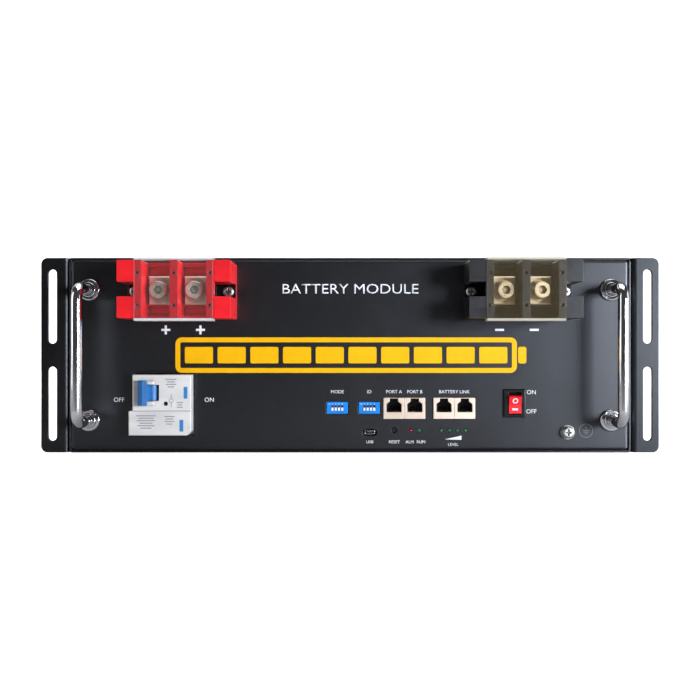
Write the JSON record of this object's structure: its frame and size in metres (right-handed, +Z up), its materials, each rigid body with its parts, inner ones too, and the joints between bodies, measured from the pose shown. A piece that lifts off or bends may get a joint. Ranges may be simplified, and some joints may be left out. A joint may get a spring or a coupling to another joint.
{
  "type": "rack battery module",
  "caption": "Rack-mount lithium battery module with bar handles, red and black terminal blocks, a breaker, data ports, selector switches and a power switch on its front.",
  "frame": {"origin": "middle of the case's underside", "axes": "+X along the front towards the negative terminals, +Y from the front to the back, +Z up"},
  "size_m": [0.4826, 0.47, 0.152],
  "materials": {
    "black_enamel": "satin powder coat",
    "black_screws": "black oxide",
    "chrome": "polished chrome",
    "zinc_steel": "bright zinc plate",
    "red_plastic": "moulded, semi-gloss",
    "black_plastic": "moulded, satin",
    "nickel_plate": "nickel plate",
    "brass_plate": "yellow passivated",
    "clear_plastic": "clear polycarbonate",
    "smoke_plastic": "smoked polycarbonate",
    "white_plastic": "moulded, satin",
    "blue_plastic": "moulded, semi-gloss",
    "dip_blue": "moulded, gloss",
    "dip_white": "moulded, matte",
    "jack_shell": "tinned spring bronze",
    "red_lens": "tinted epoxy",
    "green_lens": "tinted epoxy",
    "circuit_board": "solder mask",
    "aluminium": "mill finish",
    "cell_sleeve": "blue film sleeve",
    "strap_steel": "stainless band",
    "insulation": "fibreboard and foam",
    "copper": "bare copper",
    "wire_sleeve": "braided sleeve",
    "red_cable": "silicone jacket",
    "black_cable": "silicone jacket",
    "tinned_copper": "tin plate"
  },
  "bodies": {
    "case": {"chassis": "black_enamel", "top_cover": "black_enamel", "front_panel": "black_enamel", "enclosure_screws": "black_screws", "rack_ear_left": "black_enamel", "rack_ear_right": "black_enamel", "handle_left": "chrome", "handle_right": "chrome", "handle_ferrules": "chrome", "handle_screws": "zinc_steel", "ground_screw": "zinc_steel", "positive_terminal_block": "red_plastic", "negative_terminal_block": "black_plastic", "positive_terminal_plates": "nickel_plate", "negative_terminal_plates": "brass_plate", "positive_terminal_bolts": "nickel_plate", "negative_terminal_bolts": "brass_plate", "block_screws": "zinc_steel", "breaker_case": "white_plastic", "breaker_trip_unit": "white_plastic", "breaker_din_rail": "zinc_steel", "power_switch_case": "black_plastic", "protocol_switch_body": "dip_blue", "id_switch_body": "dip_blue", "inverter_port_jacks": "jack_shell", "battery_port_jacks": "jack_shell", "usb_port": "zinc_steel", "alarm_led": "red_lens", "green_leds": "green_lens", "comm_board": "circuit_board", "bms_board": "circuit_board", "bms_heatsink": "aluminium", "internal_brackets": "zinc_steel", "cell_row_left": "cell_sleeve", "cell_row_right": "cell_sleeve", "end_plates": "aluminium", "compression_straps": "strap_steel", "cell_insulation": "insulation", "series_busbars": "copper", "busbar_nuts": "zinc_steel", "balance_harness": "wire_sleeve", "positive_cables": "red_cable", "negative_cable": "black_cable", "cable_lugs": "tinned_copper", "lug_bolts": "zinc_steel"},
    "breaker_test_button": {"breaker_test_button": "black_plastic"},
    "breaker_toggle": {"breaker_toggle": "blue_plastic"},
    "id_switch_slider_1": {"id_switch_slider_1": "dip_white"},
    "id_switch_slider_2": {"id_switch_slider_2": "dip_white"},
    "id_switch_slider_3": {"id_switch_slider_3": "dip_white"},
    "id_switch_slider_4": {"id_switch_slider_4": "dip_white"},
    "negative_terminal_cover": {"negative_terminal_cover": "smoke_plastic"},
    "positive_terminal_cover": {"positive_terminal_cover": "clear_plastic"},
    "power_switch_rocker": {"power_switch_rocker": "red_plastic"},
    "protocol_switch_slider_1": {"protocol_switch_slider_1": "dip_white"},
    "protocol_switch_slider_2": {"protocol_switch_slider_2": "dip_white"},
    "protocol_switch_slider_3": {"protocol_switch_slider_3": "dip_white"},
    "protocol_switch_slider_4": {"protocol_switch_slider_4": "dip_white"},
    "reset_button": {"reset_button": "black_plastic"}
  },
  "joints": [
    {"name": "breaker_toggle_throw", "type": "hinge", "parent": "case", "child": "breaker_toggle", "pos_m": [-0.153, -0.2197, 0.04705], "axis": [0, 0, 1], "range_deg": [0, 60]},
    {"name": "power_switch_rock", "type": "hinge", "parent": "case", "child": "power_switch_rocker", "pos_m": [0.1281, -0.212, 0.0386], "axis": [-1, 0, 0], "range_deg": [0, 22]},
    {"name": "reset_press", "type": "slide", "parent": "case", "child": "reset_button", "axis": [0, 1, 0], "range_m": [0, 0.0005], "stiffness_N_per_m": 200},
    {"name": "breaker_test_press", "type": "slide", "parent": "case", "child": "breaker_test_button", "axis": [0, 1, 0], "range_m": [0, 0.001], "stiffness_N_per_m": 200},
    {"name": "positive_cover_pull", "type": "slide", "parent": "case", "child": "positive_terminal_cover", "axis": [0, -1, 0], "range_m": [0, 0.02]},
    {"name": "negative_cover_pull", "type": "slide", "parent": "case", "child": "negative_terminal_cover", "axis": [0, -1, 0], "range_m": [0, 0.02]},
    {"name": "protocol_slider_1_set", "type": "slide", "parent": "case", "child": "protocol_switch_slider_1", "axis": [0, 0, 1], "range_m": [0, 0.002]},
    {"name": "protocol_slider_2_set", "type": "slide", "parent": "case", "child": "protocol_switch_slider_2", "axis": [0, 0, 1], "range_m": [0, 0.002]},
    {"name": "protocol_slider_3_set", "type": "slide", "parent": "case", "child": "protocol_switch_slider_3", "axis": [0, 0, 1], "range_m": [0, 0.002]},
    {"name": "protocol_slider_4_set", "type": "slide", "parent": "case", "child": "protocol_switch_slider_4", "axis": [0, 0, 1], "range_m": [0, 0.002]},
    {"name": "id_slider_1_set", "type": "slide", "parent": "case", "child": "id_switch_slider_1", "axis": [0, 0, 1], "range_m": [0, 0.002]},
    {"name": "id_slider_2_set", "type": "slide", "parent": "case", "child": "id_switch_slider_2", "axis": [0, 0, 1], "range_m": [0, 0.002]},
    {"name": "id_slider_3_set", "type": "slide", "parent": "case", "child": "id_switch_slider_3", "axis": [0, 0, 1], "range_m": [0, 0.002]},
    {"name": "id_slider_4_set", "type": "slide", "parent": "case", "child": "id_switch_slider_4", "axis": [0, 0, 1], "range_m": [0, 0.002]}
  ]
}
